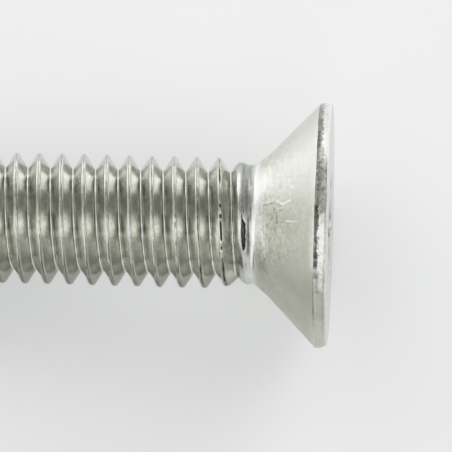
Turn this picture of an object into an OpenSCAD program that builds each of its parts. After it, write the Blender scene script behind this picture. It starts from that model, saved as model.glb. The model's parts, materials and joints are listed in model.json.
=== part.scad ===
// Countersunk machine screw with a six-lobe socket, M6 x 20, stainless steel.
// One cold-formed piece, lying on a flat surface the way it comes to rest:
// on the rim of its head and on the last thread crest at its tip.

/* [Thread] */
// Major diameter of the thread, over the crests
thread_d = 5.84; // [5.80:0.01:5.97]
// Pitch of the thread, which sets the lengths of its run-out and of the tip chamfer
pitch = 1; // [0.8:0.05:1.2]
// Length of the screw, from the tip to the flat top of the head
screw_l = 20; // [16:1:60]
// Diameter of the end face at the tip, inside its chamfer
tip_d = 4.3; // [3.6:0.1:5.2]

/* [Head] */
// Diameter of the head at its rim
head_d = 10.9; // [10.4:0.05:11.3]
// Included angle of the countersunk seat
seat_angle = 90; // [82:1:100]
// Height of the upright rim band, between the seat and the flat top
rim_h = 0.5; // [0.35:0.05:0.8]
// Rounding of the rim's upper edge
rim_round = 0.12; // [0.05:0.01:0.18]
// Rounding of the rim's lower edge, where the seat begins
seat_round = 0.22; // [0.05:0.01:0.3]

/* [Neck] */
// Diameter of the short plain neck under the head
neck_d = 5.3; // [5.0:0.01:5.6]
// Fillet between the neck and the seat
neck_fillet = 0.3; // [0.1:0.05:0.4]
// Length of the plain neck below its fillet
neck_l = 0.2; // [0.1:0.05:1]

/* [Socket] */
// Six-lobe socket, across the tips of opposite lobes
socket_a = 5.55; // [5.2:0.01:5.6]
// Six-lobe socket, across opposite flutes
socket_b = 3.95; // [3.7:0.01:4.0]
// Radius of a lobe's round tip
lobe_r = 0.45; // [0.40:0.01:0.50]
// Depth of the socket's straight walls
socket_depth = 1.8; // [1.4:0.1:2.2]
// Depth of the shallow cone in the socket's floor
socket_point = 0.45; // [0.2:0.05:0.6]

/* [Hidden] */
$fn = 96;
eps = 0.01;

thread_r = thread_d / 2;
head_r = head_d / 2;
neck_r = neck_d / 2;
half_seat = seat_angle / 2;

// Heights along the screw's own axis, measured up from the tip.
chamfer_h = thread_r - tip_d / 2;
rim_z0 = screw_l - rim_h;
// The seat's cone, carried down to the neck's radius.
seat_z0 = rim_z0 - (head_r - neck_r) / tan(half_seat);
// The fillet touches the neck and the cone this far from their corner.
fillet_t = neck_fillet * tan(half_seat / 2);
neck_z1 = seat_z0 - fillet_t;
neck_z0 = neck_z1 - neck_l;
// The thread runs out over one pitch.
runout_z0 = neck_z0 - pitch;

// Points of an arc about c, in degrees from a0 to a1, n steps.
function arc(c, r, a0, a1, n) =
    [for (i = [0:n]) let (a = a0 + (a1 - a0) * i / n) c + r * [cos(a), sin(a)]];

// Fillet centre: outside the neck, where the circle touches neck and cone.
fillet_c = [neck_r + neck_fillet, neck_z1];
// Centre of the round between the cone and the rim band.
seat_rt = seat_round * tan(half_seat / 2);
seat_c = [head_r - seat_round, rim_z0 + seat_rt];
// Centre of the round between the rim band and the flat top.
rim_c = [head_r - rim_round, screw_l - rim_round];

// Half section of the screw: radius and height along its axis.
section = concat(
    [[0, 0], [tip_d / 2, 0], [thread_r, chamfer_h], [thread_r, runout_z0], [neck_r, neck_z0]],
    arc(fillet_c, neck_fillet, 180, 180 - half_seat, 6),
    arc(seat_c, seat_round, -half_seat, 0, 6),
    arc(rim_c, rim_round, 0, 90, 6),
    [[0, screw_l]]
);

// Six-lobe outline: round lobes joined by hollow flutes that touch them smoothly.
lobe_c = socket_a / 2 - lobe_r;
flute_b = socket_b / 2;
flute_r = (pow(lobe_c, 2) + pow(flute_b, 2) - 2 * lobe_c * flute_b * cos(30) - pow(lobe_r, 2))
    / (2 * (lobe_r - flute_b + lobe_c * cos(30)));
flute_c = flute_b + flute_r;
join_a = atan2(flute_c * sin(30), flute_c * cos(30) - lobe_c);
function turned(pts, a) = [for (p = pts) [p.x * cos(a) - p.y * sin(a), p.x * sin(a) + p.y * cos(a)]];
lobe_pts = arc([lobe_c, 0], lobe_r, -join_a, join_a, 10);
flute_pts = arc(flute_c * [cos(30), sin(30)], flute_r, 180 + join_a, 240 - join_a, 9);
six_lobe = [for (k = [0:5]) each turned(
    concat(lobe_pts, [for (i = [1:8]) flute_pts[i]]), 60 * k)];

// How the screw lies: the rim's lower round and the last crest at the tip both touch z = 0.
rest_d = seat_c - [thread_r, chamfer_h];
lie = atan(rest_d.x / rest_d.y) + asin(seat_round / norm(rest_d));
low = min([for (p = section) p.y * sin(lie) - p.x * cos(lie)]);
left = min([for (p = section) p.y * cos(lie) - p.x * sin(lie)]);
right = max([for (p = section) p.y * cos(lie) + p.x * sin(lie)]);

module six_lobe_socket() {
    translate([0, 0, screw_l - socket_depth])
        linear_extrude(height = socket_depth + 1) polygon(six_lobe);
    // Shallow conical floor.
    translate([0, 0, screw_l - socket_depth - socket_point])
        cylinder(h = socket_point + eps, r1 = 0.3, r2 = socket_b / 2 - 0.04);
}

module upright_screw() {
    difference() {
        rotate_extrude() polygon(section);
        six_lobe_socket();
    }
}

// The head points to +X, and the origin is under the middle of the screw.
module screw() {
    color("silver")
        translate([-(left + right) / 2, 0, -low])
            rotate([0, 90 - lie, 0])
                upright_screw();
}

screw();
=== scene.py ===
"""Countersunk machine screw, M6 x 20, with a six-lobe socket: the looks of the part.

One mesh stands for the one CAD node. Its thread follows a true helix, with rolled crests,
rounded roots and a run-out under the head; the rim of the head is rough from forming.
All sizes are in millimetres until the mesh is written in metres.
"""

import json
import math

import bpy
import numpy as np
from mathutils import Matrix


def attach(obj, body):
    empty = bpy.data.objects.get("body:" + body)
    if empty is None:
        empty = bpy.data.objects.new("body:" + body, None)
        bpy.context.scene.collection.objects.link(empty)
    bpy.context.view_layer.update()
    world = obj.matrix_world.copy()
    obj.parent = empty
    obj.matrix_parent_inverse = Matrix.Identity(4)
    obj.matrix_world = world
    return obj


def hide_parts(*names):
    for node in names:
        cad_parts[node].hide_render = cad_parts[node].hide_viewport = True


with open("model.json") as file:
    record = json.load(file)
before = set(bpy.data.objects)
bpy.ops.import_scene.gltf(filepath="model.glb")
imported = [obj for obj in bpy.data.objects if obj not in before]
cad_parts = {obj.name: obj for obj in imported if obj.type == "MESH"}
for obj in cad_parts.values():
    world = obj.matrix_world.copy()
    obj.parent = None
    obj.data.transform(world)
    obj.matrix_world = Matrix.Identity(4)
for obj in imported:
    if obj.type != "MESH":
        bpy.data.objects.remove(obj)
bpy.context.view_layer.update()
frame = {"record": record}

# ---------------------------------------------------------------- where the screw lies
mounts = {m["name"]: m for m in frame["record"]["mounts"]}
FACE_C = np.array(mounts["socket"]["pos_m"], float) * 1000.0
E_U = np.array(mounts["socket"]["axis"], float)
E_U /= np.linalg.norm(E_U)
E_V = np.array((0.0, 1.0, 0.0))
E_W = np.cross(E_U, E_V)  # square to the axis, upwards
L = 20.0
TIP = FACE_C - L * E_U

# ---------------------------------------------------------------- sizes, as in the CAD model
PITCH = 1.0
CREST_R = 2.915
ROOT_W = 0.055  # half width of the narrow round in the thread's root
NECK_R = 2.65
HEAD_R = 5.45
TIP_R = 2.15
RIM_H = 0.5
FILLET = 0.3
SEAT_ROUND = 0.22  # soft edge between the seat and the rim
TOP_ROUND = 0.12
SEAT_Z0 = L - RIM_H - (HEAD_R - NECK_R)
FILLET_T = FILLET * math.tan(math.radians(22.5))
NECK_Z1 = SEAT_Z0 - FILLET_T
PHASE = 0.27  # a crest faces straight up at this height, and at every pitch from it
SOCKET_A, SOCKET_B, LOBE_R, SOCKET_DEPTH, SOCKET_POINT = 5.55, 3.95, 0.45, 1.8, 0.45

N = 192  # columns round the screw
RIM_N = 4  # the rim has this many times more columns

rng = np.random.default_rng(20)


# ---------------------------------------------------------------- small helpers
def smooth(a, b, x):
    t = np.clip((np.asarray(x, float) - a) / (b - a), 0.0, 1.0)
    return t * t * (3.0 - 2.0 * t)


def window(a, b, edge, x):
    """1 from a to b, falling to 0 over edge on both sides."""
    return smooth(a - edge, a + edge, x) * smooth(b + edge, b - edge, x)


def smin(a, b, k):
    h = np.maximum(k - np.abs(a - b), 0.0) / k
    return np.minimum(a, b) - h * h * k * 0.25


class Ring:
    """Smooth noise from -1 to 1 on a ring (or a ring by a height), with a set number of cells round it."""

    def __init__(self, cells, rows=1):
        self.cells, self.rows = cells, rows
        self.grid = rng.uniform(-1.0, 1.0, (rows + 1, cells))

    def __call__(self, t, v=0.0):
        """t counts turns, v runs from 0 to 1 over the rows."""
        t, v = np.broadcast_arrays(np.asarray(t, float), np.asarray(v, float))
        x = np.mod(t, 1.0) * self.cells
        y = np.clip(v, 0.0, 1.0) * self.rows
        i, j = np.floor(x).astype(int), np.minimum(np.floor(y).astype(int), self.rows - 1)
        fx, fy = x - i, y - j
        fx, fy = fx * fx * (3 - 2 * fx), fy * fy * (3 - 2 * fy)
        i0, i1 = i % self.cells, (i + 1) % self.cells
        a = self.grid[j, i0] * (1 - fx) + self.grid[j, i1] * fx
        b = self.grid[j + 1, i0] * (1 - fx) + self.grid[j + 1, i1] * fx
        return a * (1 - fy) + b * fy


# ---------------------------------------------------------------- thread
CREST_SEAM = Ring(420)  # along the whole helix
CREST_SEAM_FINE = Ring(1900)
CREST_WAVE = Ring(260)
CREST_SHIFT = Ring(700)
LAP_EDGE = Ring(150)
LAP_FINE = Ring(310)
LAP_ROUGH = Ring(260, 14)
TURNS = 17.0


def fillet_highlight(deg, u):
    """How much painted highlight the fillet under the head gets, at an angle in degrees and a height above the tip.
    """
    high = window(14.0, 78.0, 8.0, deg)
    low_u, high_u = 16.60 + 0.07 * high, 16.79 + 0.09 * high
    share = 0.3 + 0.7 * window(-44.0, 74.0, 9.0, deg)
    return share * smooth(low_u - 0.025, low_u + 0.025, u) * smooth(high_u + 0.06, high_u - 0.05, u)


def shank(phi, u):
    """Radius of the shank at angle phi (radians from straight up, towards +Y) and height u above the tip.

    Also gives, from 0 to 1, how much painted shade a point has (in the crest seam and lap, round the neck and
    run-out, on crest lips), its painted shade beside the root, and its painted highlight."""
    turn = (u - PHASE) / PITCH + phi / (2 * math.pi)
    k = np.round(turn)
    x = (turn - k) * PITCH  # from the middle of the crest, along the axis
    t = (k + 1.0 - phi / (2 * math.pi)) / TURNS
    ax = np.abs(x)
    crest = CREST_R - 0.012 * (0.5 + 0.5 * CREST_WAVE(t))
    flank = CREST_R - 1.732 * (0.434 - np.sqrt((0.5 - ax) ** 2 + ROOT_W**2))
    r = smin(crest, flank, 0.06)
    # Painted shade on one side of the root, stronger at two bands of angle, and a painted highlight in its bottom.
    deg = np.degrees(np.mod(phi + math.pi, 2 * math.pi) - math.pi)
    root = smooth(0.35, 0.41, x) * smooth(0.490, 0.470, x)
    root = root * (0.32 + 0.68 * (window(-14.0, 7.0, 4.0, deg) + window(32.0, 56.0, 5.0, deg)))
    root_highlight = smooth(0.455, 0.480, ax)
    s = L - u
    # Run-out: crests sink and roots rise to the plain neck.
    up = np.maximum(smooth(3.75, 5.10, s), 0.27 * smooth(3.42, 3.62, s))
    down = smooth(3.32, 4.55, s)
    r = np.where(r > NECK_R, NECK_R + (r - NECK_R) * up, NECK_R + (r - NECK_R) * down)
    # The rolled crest closes from both sides and leaves a fine seam along its middle.
    s_crest = L - (PHASE + k * PITCH - phi / (2 * math.pi) * PITCH)
    open_ = np.clip(0.55 + 0.45 * CREST_SEAM(t) + 0.30 * CREST_SEAM_FINE(t), 0.10, 1.15)
    # Open dashes of it on the last full crest and on two others.
    last = window(4.45, 5.05, 0.05, s_crest)
    dashes = window(14.5, 18.0, 0.8, deg) + window(5.0, 9.0, 0.8, deg) + window(-15.5, 2.0, 0.8, deg) + window(-24.5, -21.0, 0.8, deg)
    open_ = open_ * (1 - last * window(-31.0, 22.0, 4.0, deg)) + 1.25 * last * dashes
    other = window(7.55, 8.00, 0.05, s_crest) * window(-24.0, -4.0, 2.0, deg) + window(6.55, 7.00, 0.05, s_crest) * window(-22.0, 2.0, 2.0, deg)
    open_ = np.maximum(open_, 1.15 * other * (0.75 + 0.5 * CREST_SEAM_FINE(t)))
    depth = 0.050 * open_ * (1.0 + 0.9 * smooth(6.4, 4.7, s_crest))
    width = 0.024 + 0.008 * smooth(6.4, 4.7, s_crest)
    middle = 0.010 * CREST_SHIFT(t)
    # At its end the crest isn't filled: the seam opens into a ragged lap on one side.
    run = smooth(4.35, 4.15, s_crest)
    ragged = LAP_EDGE(phi / (2 * math.pi))
    upper = window(31.0, 76.0, 6.0, deg)
    end_depth = 0.008 + 0.028 * upper
    end_width = 0.026 + 0.012 * upper
    depth = depth * (1 - run) + end_depth * run
    width = width * (1 - run) + end_width * run
    middle = middle * (1 - run) + 0.010 * run
    seam = np.exp(-(((x - middle) / width) ** 2))
    r = r - depth * seam
    lap = run * window(-26.0, 9.0, 2.0, deg)
    near_lip = -0.072 - 0.045 * smooth(5.0, -13.0, deg) + 0.030 * smooth(-16.0, -24.0, deg) + 0.006 * LAP_FINE(phi / (2 * math.pi))
    far_lip = -0.020 + 0.085 * window(-20.0, 2.0, 6.0, deg) + 0.045 * ragged + 0.03 * LAP_EDGE(3.0 * phi / (2 * math.pi))
    prong = 0.60 * window(-22.0, -3.0, 3.0, deg) * smooth(far_lip + 0.25, far_lip + 0.19, x + 0.02 * ragged)
    # Painted shade in the lap and along its prong.
    lap_shade = np.maximum(smooth(far_lip + 0.050, far_lip + 0.020, x), prong)
    lap_shade = run * window(-27.0, 10.0, 3.0, deg) * smooth(near_lip - 0.022, near_lip - 0.002, x) * lap_shade
    lap = lap * smooth(near_lip - 0.013, near_lip + 0.013, x) * smooth(far_lip + 0.026, far_lip - 0.026, x)
    r = r - 0.165 * lap * (0.88 + 0.12 * ragged)
    # Slivers folded over the lap's far lip, slanting into it.
    fold = LAP_ROUGH(phi / (2 * math.pi), np.clip(0.5 + x, 0, 1))
    sliver = window(-21.0, 6.0, 4.0, deg) * np.exp(-(((x - 0.150 - 0.0056 * deg) / 0.030) ** 2))
    sliver = sliver + window(-30.0, -9.0, 3.0, deg) * np.exp(-(((x - 0.235 - 0.0060 * deg) / 0.028) ** 2))
    r = r + run * sliver * (0.052 + 0.040 * fold)
    lap_shade = lap_shade * (1 - np.clip(0.6 * run * sliver, 0, 1))
    seam, depth = np.maximum(seam, lap_shade), np.where(lap_shade > seam, 0.075, depth)
    # Chamfered tip.
    r = smin(r, TIP_R + u * 1.0, 0.03)
    # Painted shade in the seam and the lap, as deep as they are cut.
    painted_shade = np.clip(seam * depth / 0.075, 0.0, 1.0)
    # A painted dark line round the neck, as shade, beside the fillet's painted highlight.
    neck_shade = window(-31.0, 6.0, 6.0, deg) * smooth(16.43, 16.47, u - 0.020 * ragged) * smooth(16.63, 16.58, u)
    painted_shade = np.maximum(painted_shade, 0.80 * neck_shade)
    # Painted shade, a dull grey, where the thread runs out into the neck, on the picture's upper side.
    high = window(14.0, 78.0, 8.0, deg)
    runout_shade = window(9.0, 96.0, 5.0, deg) * smooth(16.09, 16.15, u) * smooth(16.66 + 0.05 * high, 16.59 + 0.05 * high, u)
    painted_shade = np.maximum(painted_shade, (0.48 + 0.25 * window(30.0, 72.0, 6.0, deg) * smooth(16.24, 16.18, u)) * runout_shade)
    # Painted shade on one lip of the crest away from the picture's upper side, on both lips near the picture's lower
    # side, and along the crest's middle near the picture's top.
    whole = smooth(4.3, 4.6, s_crest)
    lip_shade = 0.58 * window(0.026, 0.080, 0.012, x) * (1 - window(33.0, 120.0, 4.0, deg))
    lip_shade = np.maximum(lip_shade, 0.50 * smooth(0.095, 0.075, ax) * window(-84.0, -42.0, 5.0, deg))
    lip_shade = np.maximum(lip_shade, 0.80 * np.exp(-(((x + 0.008) / 0.022) ** 2)) * window(62.0, 102.0, 4.0, deg))
    painted_shade = np.maximum(painted_shade, lip_shade * whole)
    # Painted highlight on the flank towards the tip, stronger at some angles, and on the crests at the picture's
    # upper side.
    flank_highlight = smooth(-0.10, -0.14, x) * smooth(-0.465, -0.43, x) * (0.42 + 0.45 * window(33.0, 58.0, 5.0, deg) + 0.25 * window(-8.0, 9.0, 4.0, deg))
    flank_highlight = np.maximum(flank_highlight, 0.35 * window(-14.0, 7.0, 3.0, deg) * window(0.27, 0.36, 0.03, x))
    flank_highlight = np.maximum(flank_highlight, 0.42 * window(63.0, 118.0, 4.0, deg) * smooth(0.45, 0.38, ax))
    highlight_share = np.maximum(0.8 * root_highlight, flank_highlight) * smooth(3.9, 4.6, s)
    return r, painted_shade, root * smooth(3.9, 4.7, s), np.maximum(highlight_share, fillet_highlight(deg, u))


# ---------------------------------------------------------------- six-lobe socket outline
def six_lobe(count):
    """Points of the six-lobe outline, evenly spaced along it, starting at a lobe's tip."""
    c1 = SOCKET_A / 2 - LOBE_R
    b = SOCKET_B / 2
    c30 = math.cos(math.radians(30))
    ri = (c1 * c1 + b * b - 2 * c1 * b * c30 - LOBE_R ** 2) / (2 * (LOBE_R - b + c1 * c30))
    c2 = b + ri
    join = math.atan2(c2 * 0.5, c2 * c30 - c1)
    fine = []
    for k in range(6):
        a0 = math.radians(60 * k)
        ca, sa = math.cos(a0), math.sin(a0)
        pts = [(c1 + LOBE_R * math.cos(a), LOBE_R * math.sin(a)) for a in np.linspace(-join, join, 60)]
        m = math.radians(30)
        pts += [
            (c2 * math.cos(m) + ri * math.cos(a), c2 * math.sin(m) + ri * math.sin(a))
            for a in np.linspace(math.pi + join, math.radians(240) - join, 90)[1:-1]
        ]
        fine += [(x * ca - y * sa, x * sa + y * ca) for x, y in pts]
    fine = np.array(fine)
    start = 59 // 2
    fine = np.roll(fine, -start, axis=0)
    closed = np.vstack([fine, fine[:1]])
    d = np.concatenate([[0], np.cumsum(np.linalg.norm(np.diff(closed, axis=0), axis=1))])
    at = np.arange(count) / count * d[-1]
    return np.stack([np.interp(at, d, closed[:, 0]), np.interp(at, d, closed[:, 1])], axis=1)


# ---------------------------------------------------------------- mesh of the screw
# Each vertex also has its share of seven finishes: thread, seam (carrying painted shade), root (painted shade beside
# the root), seat, rim, the rim's dark edge (torn metal and painted shade), painted highlight.
verts, faces, finish = [], [], []
PLAIN, THREAD, SEAT, RIM = (0,) * 7, (1, 0, 0, 0, 0, 0, 0), (0, 0, 0, 1, 0, 0, 0), (0, 0, 0, 0, 1, 0, 0)


def put(points, kind):
    """Adds points given as (right of up, up, height) and returns their numbers."""
    first = len(verts)
    verts.extend(points)
    kind = np.asarray(kind, float)
    finish.extend(np.broadcast_to(kind, (len(points), 7)))
    return np.arange(first, first + len(points))


def ring(radius, height, phi, kind):
    """A ring of vertices. radius and height may vary round it."""
    radius = radius * np.ones_like(phi)
    height = height * np.ones_like(phi)
    return put(np.stack([radius * np.sin(phi), radius * np.cos(phi), height], axis=1), kind)


def band(lower, upper):
    """Faces between two rings of equal count, the upper one nearer the head."""
    n = len(lower)
    nxt = np.roll(np.arange(n), -1)
    for j in range(n):
        a, b, c, d = lower[j], lower[nxt[j]], upper[nxt[j]], upper[j]
        faces.append((d, c, b, a))


def widen(lower, upper, k):
    """Faces from a ring to one with k times as many vertices nearer the head."""
    n = len(lower)
    m = len(upper)
    for j in range(n):
        many = [upper[(j * k + i) % m] for i in range(k + 1)]
        half = k // 2
        for i in range(half):
            faces.append((many[i], many[i + 1], lower[j]))
        faces.append((many[half], lower[(j + 1) % n], lower[j]))
        for i in range(half, k):
            faces.append((many[i], many[i + 1], lower[(j + 1) % n]))


def narrow(lower, upper, k):
    n = len(upper)
    m = len(lower)
    for j in range(n):
        many = [lower[(j * k + i) % m] for i in range(k + 1)]
        half = k // 2
        for i in range(half):
            faces.append((many[i + 1], many[i], upper[j]))
        faces.append((upper[j], upper[(j + 1) % n], many[half]))
        for i in range(half, k):
            faces.append((many[i + 1], many[i], upper[(j + 1) % n]))


PHI = np.arange(N) / N * 2 * math.pi

# Shank: rows follow the helix, so crests, roots and seam have clean edge loops.
STEPS = np.array([0.022, 0.045, 0.068, 0.092, 0.122, 0.25, 0.40, 0.440, 0.465, 0.484])
ROW_X = np.concatenate([-STEPS[::-1], [0.0], STEPS, [0.5]])
ROWS = len(ROW_X)
K0, K1 = -2, 19
Z_LOW, Z_HIGH = 0.035, NECK_Z1
# Where the thread ends, the rows gather at the lap's two lips.
END_LOW = np.array([0.045, 0.075, 0.092, 0.109, 0.130, 0.20, 0.30, 0.385, 0.430, 0.466])
END_HIGH = np.array([0.03, 0.06, 0.09, 0.12, 0.145, 0.17, 0.195, 0.23, 0.30, 0.40])
ROW_END = np.concatenate([-END_LOW[::-1], [0.0], END_HIGH, [0.5]])
crest_u = np.arange(K0, K1 + 1)[:, None, None] * PITCH + PHASE - PITCH * PHI[None, None, :] / (2 * math.pi)
ending = smooth(4.35, 4.15, L - crest_u)
grid_u = (crest_u + PITCH * (ROW_X[None, :, None] * (1 - ending) + ROW_END[None, :, None] * ending)).reshape(-1, N)
snap = 0.014
grid_u = np.where(grid_u < Z_LOW + snap, Z_LOW, grid_u)
grid_u = np.where(grid_u > Z_HIGH - snap, Z_HIGH, grid_u)
low_ring = ring(shank(PHI, Z_LOW * np.ones(N))[0], Z_LOW, PHI, THREAD)
high_ring = ring(NECK_R, Z_HIGH, PHI, (0.2, 0, 0, 0, 0, 0, 0))
index = np.full(grid_u.shape, -1, int)
for R in range(len(grid_u)):
    uu = grid_u[R]
    rr, painted_shade_, root_shade_, painted_highlight_ = shank(PHI, uu)
    inner = (uu > Z_LOW) & (uu < Z_HIGH)
    js = np.nonzero(inner)[0]
    rolled = 0.2 + 0.8 * smooth(3.70, 4.10, L - uu)
    none = np.zeros(N)
    kind = np.stack([rolled, painted_shade_, root_shade_, none, none, none, painted_highlight_], axis=1)
    ids = put(np.stack([rr[js] * np.sin(PHI[js]), rr[js] * np.cos(PHI[js]), uu[js]], axis=1), kind[js])
    index[R, js] = ids
    index[R, uu <= Z_LOW] = low_ring[uu <= Z_LOW]
    index[R, uu >= Z_HIGH] = high_ring[uu >= Z_HIGH]
for R in range(len(grid_u) - 1):
    for j in range(N):
        if j < N - 1:
            a, b, c, d = index[R, j], index[R, j + 1], index[R + 1, j + 1], index[R + 1, j]
        else:
            # One turn on, a row has come down by one pitch, to the row of the turn below.
            R2 = R - ROWS
            if R2 < 0:
                continue
            a, b, c, d = index[R, j], index[R2, 0], index[R2 + 1, 0], index[R + 1, j]
        loop = []
        for v in (d, c, b, a):
            if v not in loop:
                loop.append(v)
        if len(loop) >= 3:
            faces.append(tuple(loop))

# Tip: a small round edge, then a slightly hollow end face.
prev = low_ring
for r_, u_ in ((2.150, 0.012), (2.118, 0.0), (1.95, 0.0), (1.6, 0.012), (1.1, 0.045), (0.5, 0.065)):
    cur = ring(r_, u_, PHI, PLAIN)
    band(cur, prev)
    prev = cur
centre = put(np.array([[0.0, 0.0, 0.07]]), PLAIN)[0]
for j in range(N):
    faces.append((prev[j], prev[(j + 1) % N], centre))

# Head: fillet and cone.
DEG = np.degrees(np.mod(PHI + math.pi, 2 * math.pi) - math.pi)


def hollow(u):
    """How far the seat lies inside a straight 45 degree cone at height u."""
    return 0.090 * np.clip((19.44 - u) / 2.07, 0.0, 1.0) ** 0.85 * smooth(16.79, 17.40, u)


# Shares of finish on the fillet and seat: painted shade towards the picture's upper and lower sides and in a band
# above the neck, and the fillet's painted highlight.
def seat_with_painted_light(u, satin):
    none = np.zeros(N)
    side_shade = satin * (0.16 * window(-88.0, -51.0, 9.0, DEG) + 0.05 * window(58.0, 88.0, 9.0, DEG))
    side_shade = side_shade + 0.20 * satin * window(-12.0, 33.0, 6.0, DEG) * window(17.03, 17.38, 0.10, u)
    return np.stack([none + 0.2 * (1 - satin), side_shade, none, none + satin, none, none, fillet_highlight(DEG, u)], axis=1)


prev = high_ring
for a in np.linspace(180, 135, 9)[1:]:
    a = math.radians(a)
    u_ = NECK_Z1 + FILLET * math.sin(a)
    cur = ring(NECK_R + FILLET + FILLET * math.cos(a) - hollow(u_), u_, PHI, seat_with_painted_light(u_, 0.0))
    band(prev, cur)
    prev = cur
cone_u0 = NECK_Z1 + FILLET * math.sin(math.radians(135))
cone_r0 = NECK_R + FILLET + FILLET * math.cos(math.radians(135))
cut = SEAT_ROUND * math.tan(math.radians(22.5))
rim_low_c = (HEAD_R - SEAT_ROUND, L - RIM_H + cut)
cone_u1 = rim_low_c[1] - SEAT_ROUND * math.sin(math.radians(45))
for t in np.linspace(0, 1, 17)[1:-1]:
    u_ = cone_u0 + (cone_u1 - 0.12 - cone_u0) * t
    satin = float(smooth(-0.10, 0.30, u_ - cone_u0))
    cur = ring(cone_r0 + (u_ - cone_u0) - hollow(u_), u_, PHI, seat_with_painted_light(u_, satin))
    band(prev, cur)
    prev = cur

# Rim: finer columns, rough from forming.
M = N * RIM_N
PHI_R = np.arange(M) / M * 2 * math.pi
T_R = np.arange(M) / M
rough_a, rough_b, rough_c = Ring(170, 4), Ring(350, 7), Ring(40, 2)
jag_a, jag_b = Ring(150, 2), Ring(300, 2)
# The trimmed edge is dark where it tore, at random round the back, and is painted dark as shade on the side facing
# the camera; it is clean elsewhere.
DEG_R = np.degrees(np.mod(PHI_R + math.pi, 2 * math.pi) - math.pi)
TORN_EDGE_AND_SHADE = smooth(-0.15, 0.25, Ring(9)(T_R))
TORN_EDGE_AND_SHADE = TORN_EDGE_AND_SHADE * (1 - window(-118.0, 100.0, 8.0, DEG_R))
TORN_EDGE_AND_SHADE = TORN_EDGE_AND_SHADE + window(-20.5, 10.0, 1.5, DEG_R) + 0.30 * window(10.0, 32.0, 1.5, DEG_R) + 0.62 * window(32.0, 39.0, 1.5, DEG_R)
TORN_EDGE_AND_SHADE = TORN_EDGE_AND_SHADE + 0.94 * window(39.0, 88.0, 1.5, DEG_R)
TORN_EDGE_AND_SHADE = TORN_EDGE_AND_SHADE + 0.6 * window(-25.5, -22.8, 0.8, DEG_R)
REACH = 0.200 + 0.06 * window(10.0, 32.0, 2.0, DEG_R) + 0.10 * window(32.0, 39.0, 1.5, DEG_R) + 0.03 * window(39.0, 90.0, 1.5, DEG_R) + 0.05 * window(39.0, 57.0, 2.0, DEG_R)
# Below it in the picture the rim is smooth and dull, with painted shade deepening towards the picture's bottom, and
# its upper edge is rubbed off a little.
SMOOTH = window(-92.0, -33.0, 3.0, DEG_R)
RUBBED = window(-118.0, -76.0, 9.0, DEG_R)
# The land above it has a painted highlight in places, partly smeared metal, and is mottled or dull in others.
SMEAR_AND_HIGHLIGHT = window(-31.5, 4.0, 2.5, DEG_R) + window(33.0, 90.0, 3.0, DEG_R)
SMEAR_AND_HIGHLIGHT = SMEAR_AND_HIGHLIGHT + (1 - window(-120.0, 92.0, 6.0, DEG_R)) * smooth(-0.1, 0.3, Ring(11)(T_R))


def rim_profile(u):
    """Radius of the smooth rim at height u: cone, soft edge, upright land."""
    cone = HEAD_R - (L - RIM_H) + u - hollow(u)
    du = np.clip(rim_low_c[1] - u, 0.0, SEAT_ROUND)
    soft = rim_low_c[0] + np.sqrt(SEAT_ROUND ** 2 - du ** 2)
    bead = 0.015 * np.exp(-(((u - cone_u1 + 0.012) / 0.026) ** 2))
    return np.where(u < cone_u1, cone, np.where(u < rim_low_c[1], soft, HEAD_R)) + bead


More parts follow.
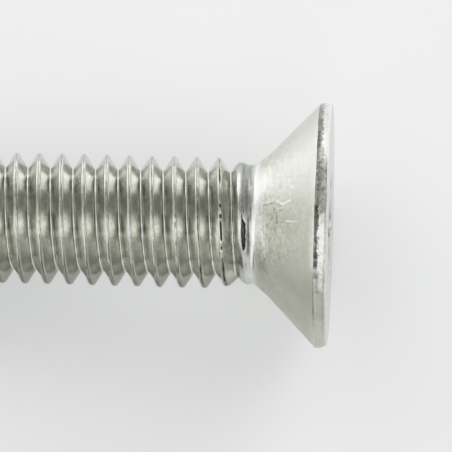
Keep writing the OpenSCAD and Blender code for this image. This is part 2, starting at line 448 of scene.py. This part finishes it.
# Painted highlight along the bead where the seat meets the rim, strongest on the side facing the camera.
bead_highlight = window(-21.0, 4.0, 3.0, DEG_R) + 0.6 * window(4.0, 30.0, 3.0, DEG_R) + 0.35 * window(30.0, 56.0, 4.0, DEG_R)
kind = np.zeros((M, 7))
kind[:, 3], kind[:, 6] = 1.0, 0.45 * bead_highlight
cur = ring(rim_profile((cone_u1 - 0.075) * np.ones(M)), cone_u1 - 0.075, PHI_R, kind)
widen(prev, cur, RIM_N)
prev = cur
u_b = L - TOP_ROUND
rows_u = np.concatenate(
    [cone_u1 + np.array([-0.042, -0.022, -0.004, 0.016]), np.linspace(cone_u1 + 0.016, rim_low_c[1], 6)[1:], np.linspace(rim_low_c[1], u_b, 6)[1:]]
)
for i, u_ in enumerate(rows_u):
    v = max(u_ - cone_u1, 0.0) / (L - cone_u1)
    wide = smooth(0.02, 0.2, v)
    shift = 0.042 * wide * (0.6 * jag_a(T_R, v) + 0.4 * jag_b(T_R, v)) * smooth(1.0, 0.75, v)
    n_ = 0.5 + 0.5 * (0.50 * rough_a(T_R, v) + 0.35 * rough_b(T_R, v) + 0.25 * rough_c(T_R, v))
    r_ = np.minimum(rim_profile(u_ + shift), rim_profile(u_ + 0 * shift) + 0.02) - 0.026 * wide * np.clip(n_, 0, 1) * (1 - 0.7 * SMOOTH)
    r_ = r_ - RUBBED * (0.03 * wide + 0.07 * smooth(19.74, 19.88, u_))
    dark_edge = TORN_EDGE_AND_SHADE * (u_ >= cone_u1 - 0.03)
    none = np.zeros(M)
    land_smear_and_highlight = wide * np.clip(SMEAR_AND_HIGHLIGHT * (0.75 + 0.5 * rough_c(T_R, v)) + 0.35 * np.maximum(rough_a(T_R, v), 0) * window(4.0, 33.0, 2.0, DEG_R), 0, 1)
    # Less painted highlight and some painted shade on a short stretch at the picture's lower side, below the round
    # top.
    corner = window(-33.0, -21.5, 1.5, DEG_R) * float(smooth(19.74, 19.64, u_))
    land_smear_and_highlight = land_smear_and_highlight * (1 - 0.7 * corner)
    bead = bead_highlight * float(window(cone_u1 - 0.05, cone_u1 - 0.002, 0.012, u_))
    on_rim = (1 - 0.75 * SMOOTH) * (u_ >= cone_u1)
    # Painted shade: a thin dark line just below the round top, and more on the smooth stretch, deepening towards the
    # picture's bottom.
    line = 0.30 * window(-86.0, 6.0, 3.0, DEG_R) * float(smooth(19.83, 19.87, u_))
    line = np.maximum(line, 0.25 * corner * wide)
    line = np.maximum(line, wide * SMOOTH * (0.13 + 0.20 * smooth(-48.0, -78.0, DEG_R)))
    kind = np.stack([none, line, none, 1 - on_rim, on_rim, dark_edge, np.maximum(land_smear_and_highlight, 0.95 * bead)], axis=1)
    cur = ring(np.minimum(r_, HEAD_R), u_, PHI_R, kind)
    band(prev, cur)
    prev = cur
for i, a in enumerate(np.linspace(0, 90, 6)[1:]):
    ar = math.radians(a)
    v = 0.8 + 0.2 * (i + 1) / 5
    n_ = 0.5 + 0.5 * (0.50 * rough_a(T_R, v) + 0.35 * rough_b(T_R, v) + 0.25 * rough_c(T_R, v))
    r_ = HEAD_R - TOP_ROUND + TOP_ROUND * math.cos(ar) - 0.026 * (1 - (i + 1) / 5.0) * np.clip(n_, 0, 1) * (1 - 0.7 * SMOOTH)
    r_ = r_ - 0.10 * RUBBED
    none = np.zeros(M)
    # Along the rounded edge: a thin painted dark line, and a painted highlight on the picture's upper side and, on
    # the middle of the round, across the near side.
    line = (0.30 * window(-86.0, 6.0, 3.0, DEG_R)) if i < 1 else none
    edge_highlight = window(33.0, 92.0, 3.0, DEG_R) if i < 3 else none
    edge_highlight = edge_highlight + (0.75 * window(-34.0, 33.0, 3.0, DEG_R) * np.clip(0.8 + 0.5 * rough_a(T_R, v), 0, 1) if i in (2, 3) else none)
    on_rim = (1 - 0.75 * SMOOTH) * (i < 3)
    kind = np.stack([none, line, none, (1 - on_rim) * (i < 3), on_rim, none, np.clip(edge_highlight, 0, 1)], axis=1)
    cur = ring(r_, L - TOP_ROUND + TOP_ROUND * math.sin(ar), PHI_R, kind)
    band(prev, cur)
    prev = cur
cur = ring(5.22, L, PHI, PLAIN)
narrow(prev, cur, RIM_N)
prev = cur

# Flat top: from the round rim to the six-lobe mouth.
out = six_lobe(N)
# The outline starts at a lobe's tip, in (up, towards +Y).
OUT_UP, OUT_SIDE = out[:, 0], out[:, 1]
rim_up, rim_side = 5.22 * np.cos(PHI), 5.22 * np.sin(PHI)
MOUTH = 0.07
scale_mouth = 1.0 + MOUTH / 2.4
for t in (0.12, 0.3, 0.5, 0.7, 0.86, 0.95):
    w = t
    up_ = rim_up * (1 - w) + OUT_UP * scale_mouth * w
    side_ = rim_side * (1 - w) + OUT_SIDE * scale_mouth * w
    cur = put(np.stack([side_, up_, L * np.ones(N)], axis=1), PLAIN)
    band(prev, cur)
    prev = cur
for a in (0, 30, 60, 90):
    ar = math.radians(a)
    grow = 1.0 + (MOUTH * (1 - math.sin(ar))) / 2.4
    h = L - MOUTH * (1 - math.cos(ar))
    cur = put(np.stack([OUT_SIDE * grow, OUT_UP * grow, h * np.ones(N)], axis=1), PLAIN)
    band(prev, cur)
    prev = cur
for h in (0.35, 0.75, 1.15, 1.5, 1.72):
    cur = put(np.stack([OUT_SIDE, OUT_UP, (L - h) * np.ones(N)], axis=1), PLAIN)
    band(prev, cur)
    prev = cur
for g, h in ((0.985, 1.78), (0.955, 1.80)):
    cur = put(np.stack([OUT_SIDE * g, OUT_UP * g, (L - h) * np.ones(N)], axis=1), PLAIN)
    band(prev, cur)
    prev = cur
out_r, out_a = np.hypot(OUT_UP, OUT_SIDE), np.arctan2(OUT_SIDE, OUT_UP)
for rr_, h in ((1.9, 1.82), (1.4, 1.96), (0.9, 2.1), (0.45, 2.22), (0.2, 2.25)):
    r_ = np.minimum(out_r * 0.9, rr_)
    cur = put(np.stack([r_ * np.sin(out_a), r_ * np.cos(out_a), (L - h) * np.ones(N)], axis=1), PLAIN)
    band(prev, cur)
    prev = cur
centre = put(np.array([[0.0, 0.0, L - 2.25]]), PLAIN)[0]
for j in range(N):
    faces.append((centre, prev[(j + 1) % N], prev[j]))

co = np.array(verts, float)
finish = np.array(finish, float)
world = (TIP[None, :] + co[:, 2:3] * E_U[None, :] + co[:, 1:2] * E_W[None, :] + co[:, 0:1] * E_V[None, :]) / 1000.0
me = bpy.data.meshes.new("screw_body")
me.from_pydata(world.tolist(), [], faces)
me.update()
screw = bpy.data.objects.new("screw_body", me)
bpy.context.scene.collection.objects.link(screw)
for p in me.polygons:
    p.use_smooth = True

# Where a point is on the screw, in millimetres, and its share of each finish.
angle = np.arctan2(co[:, 0], co[:, 1])
radius = np.hypot(co[:, 0], co[:, 1])


def note(name, kind, values):
    a = me.attributes.new(name, kind, "POINT")
    a.data.foreach_set("vector" if kind == "FLOAT_VECTOR" else "value", np.ascontiguousarray(values, np.float32).ravel())


note("local", "FLOAT_VECTOR", co)
note("turned", "FLOAT_VECTOR", np.stack([np.sin(angle), np.cos(angle), co[:, 2]], axis=1))
for i, name in enumerate(("thread", "seam", "root", "seat", "rim", "edge", "painted_highlight")):
    note(name, "FLOAT", finish[:, i])
note("reach", "FLOAT", np.interp(np.mod(angle, 2 * math.pi), PHI_R, REACH, period=2 * math.pi))

# ---------------------------------------------------------------- material


class Nodes:
    """Short ways to add shader nodes."""

    def __init__(self, tree):
        self.t = tree

    def _in(self, socket, v):
        if isinstance(v, bpy.types.NodeSocket):
            self.t.links.new(v, socket)
        elif v is not None:
            socket.default_value = v

    def attr(self, name, out="Fac"):
        n = self.t.nodes.new("ShaderNodeAttribute")
        n.attribute_name = name
        return n.outputs[out]

    def math(self, op, a, b=None, c=None, clamp=False):
        n = self.t.nodes.new("ShaderNodeMath")
        n.operation, n.use_clamp = op, clamp
        for s, v in zip(n.inputs, (a, b, c)):
            self._in(s, v)
        return n.outputs[0]

    def vec(self, op, a, b=None, c=None, out=0):
        n = self.t.nodes.new("ShaderNodeVectorMath")
        n.operation = op
        for s, v in zip(n.inputs, (a, b, c)):
            self._in(s, v)
        return n.outputs["Value"] if op in ("DOT_PRODUCT", "LENGTH", "DISTANCE") else n.outputs[out]

    def combine(self, v):
        n = self.t.nodes.new("ShaderNodeCombineXYZ")
        for s in n.inputs:
            self._in(s, v)
        return n.outputs[0]

    def separate(self, v, i):
        n = self.t.nodes.new("ShaderNodeSeparateXYZ")
        self._in(n.inputs[0], v)
        return n.outputs[i]

    def noise(self, vector, scale, detail=2.0, rough=0.5, kind="FBM"):
        n = self.t.nodes.new("ShaderNodeTexNoise")
        n.noise_type = kind
        self._in(n.inputs["Vector"], vector)
        n.inputs["Scale"].default_value = scale
        n.inputs["Detail"].default_value = detail
        n.inputs["Roughness"].default_value = rough
        return n.outputs["Fac"]

    def ramp(self, v, a, b, lo=0.0, hi=1.0, smooth_=True):
        n = self.t.nodes.new("ShaderNodeMapRange")
        n.interpolation_type = "SMOOTHSTEP" if smooth_ else "LINEAR"
        self._in(n.inputs["Value"], v)
        for key, val in (("From Min", a), ("From Max", b), ("To Min", lo), ("To Max", hi)):
            self._in(n.inputs[key], val)
        return n.outputs["Result"]

    def mix(self, f, a, b):
        n = self.t.nodes.new("ShaderNodeMix")
        n.data_type = "RGBA"
        self._in(n.inputs["Factor"], f)
        self._in(n.inputs[6], a)
        self._in(n.inputs[7], b)
        return n.outputs[2]

    def bump(self, height, strength, distance, normal=None):
        n = self.t.nodes.new("ShaderNodeBump")
        n.inputs["Strength"].default_value = strength
        n.inputs["Distance"].default_value = distance
        self._in(n.inputs["Height"], height)
        if normal is not None:
            self._in(n.inputs["Normal"], normal)
        return n.outputs["Normal"]


# Handling marks on the seat: from point to point, half width, and how much brighter or darker.
MARKS = [
    ((0.834, 3.013, 17.176), (0.904, 3.183, 17.359), 0.036, -1.00),
    ((0.904, 3.183, 17.359), (0.974, 3.378, 17.565), 0.034, -1.00),
    ((0.974, 3.378, 17.565), (0.969, 3.572, 17.751), 0.022, -0.40),
    ((1.048, 3.561, 17.762), (0.921, 3.831, 17.99), 0.034, 1.00),
    ((0.921, 3.831, 17.99), (0.986, 3.974, 18.144), 0.036, 1.00),
    ((0.986, 3.974, 18.144), (1.086, 4.159, 18.348), 0.029, 1.00),
    ((0.92, 3.563, 17.73), (0.859, 3.772, 17.918), 0.034, -0.35),
    ((0.777, 3.651, 17.783), (0.847, 4.059, 18.196), 0.022, -0.35),
    ((0.716, 3.666, 17.785), (0.737, 3.849, 17.969), 0.030, 0.50),
    ((0.721, 3.485, 17.609), (0.568, 3.538, 17.633), 0.042, -1.00),
    ((0.527, 3.649, 17.736), (0.069, 3.742, 17.793), 0.044, -1.00),
    ((0.157, 4.144, 18.197), (0.155, 4.398, 18.451), 0.033, 1.00),
    ((0.155, 4.398, 18.451), (0.17, 4.673, 18.726), 0.018, 0.40),
    ((0.109, 3.939, 17.991), (0.077, 4.425, 18.476), 0.022, -0.35),
    ((2.187, 2.152, 17.118), (1.635, 2.679, 17.189), 0.046, 0.70),
    ((2.5, 2.149, 17.347), (2.035, 2.68, 17.415), 0.040, 0.55),
    ((1.969, 2.758, 17.439), (1.684, 3.006, 17.495), 0.036, 0.50),
    ((1.591, 2.731, 17.21), (1.086, 3.013, 17.253), 0.036, -0.40),
    ((1.499, 2.562, 17.018), (0.994, 2.837, 17.056), 0.036, -0.40),
    ((1.462, 3.005, 17.391), (1.067, 3.203, 17.426), 0.030, -0.30),
    ((2.269, 2.877, 17.714), (2.243, 2.941, 17.749), 0.050, 0.50),
    ((1.982, 3.685, 18.234), (1.916, 3.745, 18.256), 0.050, 0.40),
    ((1.721, 3.982, 18.388), (1.678, 4.053, 18.436), 0.060, 0.35),
    ((-0.343, 3.015, 17.084), (-0.954, 2.978, 17.177), 0.042, 0.50),
    ((-1.126, 3.058, 17.309), (-1.279, 3.018, 17.328), 0.050, 0.60),
    ((-1.085, 2.959, 17.201), (-1.303, 2.921, 17.249), 0.045, -0.30),
    ((2.165, 4.154, 18.734), (2.243, 4.37, 18.962), 0.050, -0.30),
    ((2.243, 4.37, 18.962), (2.334, 4.577, 19.188), 0.040, -0.35),
    ((0.473, 3.199, 17.284), (0.386, 3.26, 17.333), 0.045, -0.30),
    ((-0.083, 2.924, 16.975), (-0.168, 3.016, 17.071), 0.050, 0.35),
    ((0.093, 2.919, 16.971), (-0.081, 2.971, 17.022), 0.040, -0.35),
]


EDGE_U = cone_u1


def stainless():
    m = bpy.data.materials.new("stainless_steel")
    m.use_nodes = True
    q = Nodes(m.node_tree)
    b = m.node_tree.nodes["Principled BSDF"]
    b.inputs["Metallic"].default_value = 1.0
    thread, seam, root, seat, rim, edge = (q.attr(n) for n in ("thread", "seam", "root", "seat", "rim", "edge"))
    painted_highlight = q.attr("painted_highlight")
    local, turned = q.attr("local", "Vector"), q.attr("turned", "Vector")
    # Drawn out round the screw, along the rolling and turning marks.
    streaks = q.noise(q.vec("MULTIPLY", turned, (2.6, 2.6, 16.0)), 1.0, 3.0, 0.6)
    fine_streaks = q.noise(q.vec("MULTIPLY", turned, (9.0, 9.0, 44.0)), 1.0, 2.0, 0.6)
    speckle = q.noise(local, 7.0, 3.0, 0.65)
    cloud = q.noise(local, 1.1, 3.0, 0.55)
    # Colour: bare stainless steel, a little warmer and duller in patches, with painted shade in the seam.
    tint = q.mix(q.ramp(cloud, 0.35, 0.68), (0.525, 0.529, 0.462, 1.0), (0.49, 0.493, 0.424, 1.0))
    # The rolled thread is greyer, and the bare neck, tip and flat top are greyer still.
    plain = q.math("SUBTRACT", q.math("SUBTRACT", q.math("SUBTRACT", 1.0, thread), seat), rim, clamp=True)
    tint = q.mix(thread, tint, (0.472, 0.475, 0.426, 1.0))
    tint = q.mix(plain, tint, (0.520, 0.527, 0.512, 1.0))
    # Blotches on the rim's land, bluish, where the painted highlight doesn't cover them.
    blotch = q.noise(q.vec("MULTIPLY", local, (6.0, 6.0, 5.0)), 1.0, 2.0, 0.6)
    tint = q.mix(q.math("MULTIPLY", rim, q.ramp(blotch, 0.55, 0.47, 0.0, 0.62)), tint, (0.23, 0.245, 0.245, 1.0))
    # Painted highlight, near white, on the fillet, thread roots, flanks and upper crests, the seat's bead and the
    # rim.
    tint = q.mix(painted_highlight, tint, (0.92, 0.92, 0.87, 1.0))
    # Painted shade, near black, in the crest seam and lap, round the neck and run-out, on crest lips, on the seat's
    # sides and in lines on the rim.
    painted_shade_and_torn_edge = q.math("MULTIPLY", seam, 0.96)
    # The rim's torn edge, dark partly from the tear and partly as painted shade, ends in teeth, above a height that
    # wanders round the head.
    teeth = q.noise(q.vec("MULTIPLY_ADD", turned, (36.0, 36.0, 2.5), q.combine(q.math("MULTIPLY", q.separate(local, 2), 7.0))), 1.0, 3.0, 0.6)
    above = q.math("SUBTRACT", q.separate(local, 2), EDGE_U)
    teeth = q.math("MULTIPLY_ADD", q.math("SUBTRACT", teeth, 0.5), 0.60, above)
    torn_edge_and_shade = q.math("MULTIPLY", edge, q.math("MULTIPLY", q.ramp(q.math("SUBTRACT", teeth, q.attr("reach")), 0.020, -0.020), q.ramp(above, -0.006, 0.012)))
    painted_shade_and_torn_edge = q.math("MAXIMUM", painted_shade_and_torn_edge, q.math("MULTIPLY", torn_edge_and_shade, q.ramp(blotch, 0.40, 0.60, 0.92, 0.79)))
    # Painted shade beside the thread's roots, broken up by the streaks.
    painted_shade_and_torn_edge = q.math("MAXIMUM", painted_shade_and_torn_edge, q.math("MULTIPLY", root, q.ramp(streaks, 0.25, 0.70, 0.50, 0.95)))
    # Marks: shallow dents and scuffs, broken up along their length.
    bright = dark = None
    fray = q.ramp(q.noise(local, 13.0, 3.0, 0.7), 0.36, 0.60, 0.55, 1.0)
    for start, end, wide, tone in MARKS:
        start, end = (tuple((1 - hollow(p[2]) / math.hypot(p[0], p[1])) * np.array((p[0], p[1], 0.0)) + np.array((0.0, 0.0, p[2]))) for p in (start, end))
        run = np.array(end) - np.array(start)
        from_start = q.vec("SUBTRACT", local, start)
        along = q.math("MULTIPLY", q.vec("DOT_PRODUCT", from_start, tuple(run)), 1.0 / float(run @ run), clamp=True)
        off = q.vec("LENGTH", q.vec("SUBTRACT", from_start, q.vec("MULTIPLY", tuple(run), q.combine(along))))
        spot = q.math("MULTIPLY", q.ramp(off, 2.0 * wide, 0.2 * wide), abs(tone))
        if tone > 0:
            bright = spot if bright is None else q.math("MAXIMUM", bright, spot)
        else:
            dark = spot if dark is None else q.math("MAXIMUM", dark, spot)
    bright = q.math("MULTIPLY", bright, fray)
    dark = q.math("MULTIPLY", dark, fray)
    # Short streaks round the seat next to the neck.
    height_on = q.separate(local, 2)
    near_neck = q.math("MULTIPLY", q.ramp(height_on, 16.80, 16.95), q.ramp(height_on, 17.75, 17.1))
    handled = q.ramp(q.separate(local, 0), -2.1, -0.9, 0.30, 1.0)
    near_neck = q.math("MULTIPLY", near_neck, handled)
    drag = q.noise(q.vec("MULTIPLY", turned, (7.0, 7.0, 21.0)), 1.0, 3.0, 0.65)
    bright = q.math("MAXIMUM", bright, q.math("MULTIPLY", near_neck, q.ramp(drag, 0.53, 0.70, 0.0, 0.75)))
    dark = q.math("MAXIMUM", dark, q.math("MULTIPLY", near_neck, q.ramp(drag, 0.47, 0.30, 0.0, 0.50)))
    grain = q.math("MULTIPLY", q.math("MULTIPLY_ADD", plain, 0.6, q.math("MULTIPLY_ADD", thread, 0.5, seat)), q.ramp(q.noise(local, 5.5, 4.0, 0.75), 0.34, 0.66, -1.0, 1.0, False))
    grain = q.math("MULTIPLY", q.math("MULTIPLY", grain, handled), q.ramp(height_on, 18.8, 17.6, 0.12, 0.30))
    worn = q.mix(bright, tint, (0.96, 0.96, 0.92, 1.0))
    worn = q.mix(dark, worn, (0.26, 0.257, 0.22, 1.0))
    worn = q.vec("MULTIPLY", worn, q.combine(q.math("ADD", grain, 1.0)))
    # The painted shade and the torn edge's dark are laid on last.
    b_colour = q.mix(painted_shade_and_torn_edge, worn, (0.053, 0.056, 0.045, 1.0))
    q._in(b.inputs["Base Color"], b_colour)
    # A rolled thread is duller where it is seen edge-on.
    q._in(b.inputs["Specular Tint"], q.mix(q.math("MULTIPLY", thread, q.math("SUBTRACT", 1.0, painted_highlight)), (1.0, 1.0, 1.0, 1.0), (0.62, 0.62, 0.60, 1.0)))
    # Roughness
    rough = q.math("MULTIPLY_ADD", thread, q.ramp(streaks, 0.3, 0.7, 0.15, 0.22), 0.0)
    rough = q.math("MULTIPLY_ADD", seat, q.ramp(speckle, 0.3, 0.7, 0.35, 0.42), rough)
    rough = q.math("MULTIPLY_ADD", rim, q.ramp(speckle, 0.3, 0.7, 0.20, 0.34), rough)
    rough = q.math("MULTIPLY_ADD", plain, q.ramp(speckle, 0.3, 0.7, 0.29, 0.40), rough)
    q._in(b.inputs["Roughness"], rough)
    # Fine relief
    h = q.math("MULTIPLY", q.math("MULTIPLY", fine_streaks, thread), 0.0018)
    h = q.math("MULTIPLY_ADD", q.math("MULTIPLY", speckle, seat), 0.0045, h)
    h = q.math("MULTIPLY_ADD", q.math("MULTIPLY", q.noise(local, 8.0, 3.0, 0.6), rim), 0.008, h)
    q._in(b.inputs["Normal"], q.bump(h, 1.0, 0.001))
    return m


me.materials.append(stainless())
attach(screw, "root")
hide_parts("screw")

# ---------------------------------------------------------------- floor
fm = bpy.data.materials.new("floor_paper")
fm.use_nodes = True
ft = fm.node_tree
for n in list(ft.nodes):
    if n.type != "OUTPUT_MATERIAL":
        ft.nodes.remove(n)
paper = ft.nodes.new("ShaderNodeBsdfDiffuse")
paper.inputs["Color"].default_value = (0.823, 0.842, 0.836, 1.0)
ft.links.new(paper.outputs[0], next(n for n in ft.nodes if n.type == "OUTPUT_MATERIAL").inputs["Surface"])
# A sheet in two parts: the metal mirrors the part round the screw and right of it, and the studio beyond.
turn = np.radians(np.arange(95.0, 266.0, 3.0))
near = [(0.018 * math.cos(a), 0.011 * math.sin(a), 0.0) for a in turn]
near += [(0.012, -0.09, 0.0), (0.09, -0.09, 0.0), (0.09, 0.09, 0.0), (0.012, 0.09, 0.0)]
wide = [(1.5 * x / math.hypot(x, y), 1.5 * y / math.hypot(x, y), 0.0) for x, y, z in near]
COUNT = len(near)
for name, points, faces in (
    ("floor", near, [tuple(range(COUNT))]),
    ("floor_far", near + wide, [(i, i + COUNT, (i + 1) % COUNT + COUNT, (i + 1) % COUNT) for i in range(COUNT)]),
):
    bm = bpy.data.meshes.new(name)
    bm.from_pydata(points, [], faces)
    bm.materials.append(fm)
    sheet = bpy.data.objects.new(name, bm)
    bpy.context.scene.collection.objects.link(sheet)
    sheet.visible_glossy = name == "floor"

# ---------------------------------------------------------------- camera
PX = 22.56  # pixels for each millimetre in the 452 pixel frame
TILT = math.radians(2.6)  # the flat top leans this much towards the camera
ROLL = math.radians(1.5)  # the axis runs down to the right by this much
back = math.cos(TILT) * E_W + math.sin(TILT) * E_U
right0 = E_U - (E_U @ back) * back
right0 /= np.linalg.norm(right0)
up0 = np.cross(back, right0)
right = math.cos(ROLL) * right0 + math.sin(ROLL) * up0
up = -math.sin(ROLL) * right0 + math.cos(ROLL) * up0
# The middle of the flat top sits at this pixel.
face_px = (330.0, 226.0)
aim = FACE_C - right * (face_px[0] - 226.0) / PX + up * (face_px[1] - 226.0) / PX
DIST = 257.0
cam_data = bpy.data.cameras.new("camera")
cam_data.sensor_width = 36.0
cam_data.lens = 36.0 * DIST / (452.0 / PX)
cam_data.clip_start, cam_data.clip_end = 0.01, 10.0
cam = bpy.data.objects.new("camera", cam_data)
bpy.context.scene.collection.objects.link(cam)
where = (aim + back * DIST) / 1000.0
cam.matrix_world = Matrix(
    (
        (right[0], up[0], back[0], where[0]),
        (right[1], up[1], back[1], where[1]),
        (right[2], up[2], back[2], where[2]),
        (0, 0, 0, 1),
    )
)
bpy.context.scene.camera = cam

# ---------------------------------------------------------------- light
# A studio of soft lamps, each a round glow in some direction: (degrees from straight up, degrees round
# from the picture's right towards its top, strength, degrees from its middle to its edge).
scene = bpy.context.scene
scene.view_settings.view_transform = "Standard"
# Bright tones roll off softly, as in a print: straight up to KNEE, then ever flatter towards white.
KNEE, WHITE_AT = 0.40, 4.0
scene.view_settings.use_curve_mapping = True
tone = scene.view_settings.curve_mapping
tone.white_level = (WHITE_AT, WHITE_AT, WHITE_AT)
tone.clip_max_y = 1.0
curve = tone.curves[3]
steps = [KNEE + 0.06 * i for i in range(40)]
for x in steps:
    p = curve.points.new(x / WHITE_AT, KNEE + (1 - KNEE) * (1 - math.exp(-(x - KNEE) / (1 - KNEE))))
    p.handle_type = "VECTOR"
curve.points[0].handle_type = curve.points[len(curve.points) - 1].handle_type = "VECTOR"
tone.update()
LAMPS_ON_PAPER = [
    (0, 0, 0.137, 9), (16, 240, 1.347, 9), (16, 300, 0.522, 9), (32, 180, 2.453, 9), (32, 210, 0.675, 9),
    (32, 270, 2.029, 9), (32, 300, 2.466, 9), (48, 45, 1.382, 9), (48, 67.5, 1.685, 9), (48, 112.5, 2.658, 9),
    (48, 135, 2.686, 9), (48, 157.5, 0.148, 9), (48, 202.5, 1.505, 9), (48, 292.5, 0.18, 9), (48, 315, 0.563, 9),
    (64, 40, 1.017, 9), (64, 60, 4.071, 9), (64, 80, 0.206, 9), (64, 120, 2.992, 9), (64, 140, 2.855, 9),
    (64, 160, 1.71, 9), (64, 220, 0.293, 9), (64, 340, 2.359, 9), (77, 0, 2.184, 9), (77, 36, 1.149, 9),
    (77, 54, 5.842, 9), (77, 72, 5.413, 9), (77, 90, 1.891, 9), (77, 108, 3.305, 9), (77, 126, 2.231, 9),
    (77, 144, 1.398, 9), (77, 162, 1.165, 9), (77, 324, 0.147, 9), (77, 342, 5.265, 9), (88, 0, 3.183, 9),
    (88, 36, 2.16, 9), (88, 54, 5.861, 9), (88, 72, 5.586, 9), (88, 90, 3.826, 9), (88, 108, 4.359, 9),
    (88, 126, 2.829, 9), (88, 144, 1.021, 9), (88, 162, 1.154, 9), (88, 324, 1.337, 9), (88, 342, 5.573, 9),
]
LAMPS_ON_METAL = [
    (0, 0, 1.671, 9), (16, 60, 0.83, 9), (16, 240, 1.784, 9), (16, 300, 0.338, 9), (32, 0, 0.392, 9),
    (32, 60, 0.476, 9), (32, 90, 0.797, 9), (32, 180, 0.078, 9), (32, 270, 2.266, 9), (48, 0, 2.569, 9),
    (48, 22.5, 0.139, 9), (48, 45, 0.622, 9), (48, 90, 0.402, 9), (48, 135, 0.709, 9), (48, 157.5, 0.67, 9),
    (48, 180, 1.403, 9), (48, 202.5, 1.673, 9), (48, 270, 0.125, 9), (48, 292.5, 0.317, 9), (48, 337.5, 4.411, 9),
    (64, 40, 0.372, 9), (64, 80, 0.818, 9), (64, 100, 0.151, 9), (64, 120, 0.742, 9), (64, 140, 0.506, 9),
    (64, 200, 2.023, 9), (64, 220, 0.091, 9), (64, 240, 1.684, 9), (64, 280, 1.008, 9), (64, 320, 2.619, 9),
    (64, 340, 0.078, 9), (77, 90, 1.667, 9), (77, 180, 1.698, 9), (77, 198, 2.157, 9), (77, 216, 0.189, 9),
    (77, 234, 0.648, 9), (77, 270, 0.672, 9), (77, 288, 0.224, 9), (77, 306, 1.021, 9), (77, 342, 0.326, 9),
    (88, 36, 4.606, 9), (88, 54, 0.833, 9), (88, 90, 2.169, 9), (88, 126, 0.841, 9), (88, 162, 0.505, 9),
    (88, 180, 0.912, 9), (88, 252, 1.498, 9), (88, 306, 0.8, 9), (99, 126, 0.74, 9), (99, 144, 2.762, 9),
    (99, 162, 0.508, 9), (110, 80, 1.389, 9), (110, 140, 4.275, 9), (110, 200, 0.968, 9), (110, 260, 0.744, 9),
    (121, 100, 4.491, 9), (121, 124, 6.793, 9), (121, 172, 2.924, 9),
]
PALE = 0.86


def studio():
    w = bpy.data.worlds.new("studio")
    scene.world = w
    w.use_nodes = True
    w.cycles.sampling_method = "NONE"
    nt = w.node_tree
    nt.nodes.clear()
    q = Nodes(nt)
    towards = nt.nodes.new("ShaderNodeTexCoord").outputs["Generated"]
    towards = q.vec("NORMALIZE", towards)

    def glow(lamps):
        total = None
        for from_top, azimuth, strength, spread in lamps:
            t, a = math.radians(from_top), math.radians(azimuth)
            d = (math.sin(t) * math.cos(a), math.sin(t) * math.sin(a), math.cos(t))
            k = 1.0 / math.radians(spread) ** 2
            e = q.math("EXPONENT", q.math("MULTIPLY_ADD", q.vec("DOT_PRODUCT", towards, d), k, -k))
            total = q.math("MULTIPLY", e, strength) if total is None else q.math("MULTIPLY_ADD", e, strength, total)
        return total

    path = nt.nodes.new("ShaderNodeLightPath")
    on_paper, on_metal = glow(LAMPS_ON_PAPER), glow(LAMPS_ON_METAL)
    f = path.outputs["Is Diffuse Ray"]
    both = q.math("ADD", q.math("MULTIPLY", on_paper, f), q.math("MULTIPLY", on_metal, q.math("SUBTRACT", 1.0, f)))
    c = path.outputs["Is Camera Ray"]
    both = q.math("ADD", q.math("MULTIPLY", both, q.math("SUBTRACT", 1.0, c)), q.math("MULTIPLY", c, PALE))
    bg = nt.nodes.new("ShaderNodeBackground")
    bg.inputs["Color"].default_value = (0.997, 1.0, 0.998, 1.0)
    nt.links.new(both, bg.inputs["Strength"])
    nt.links.new(bg.outputs[0], nt.nodes.new("ShaderNodeOutputWorld").inputs["Surface"])


studio()

bpy.context.view_layer.update()
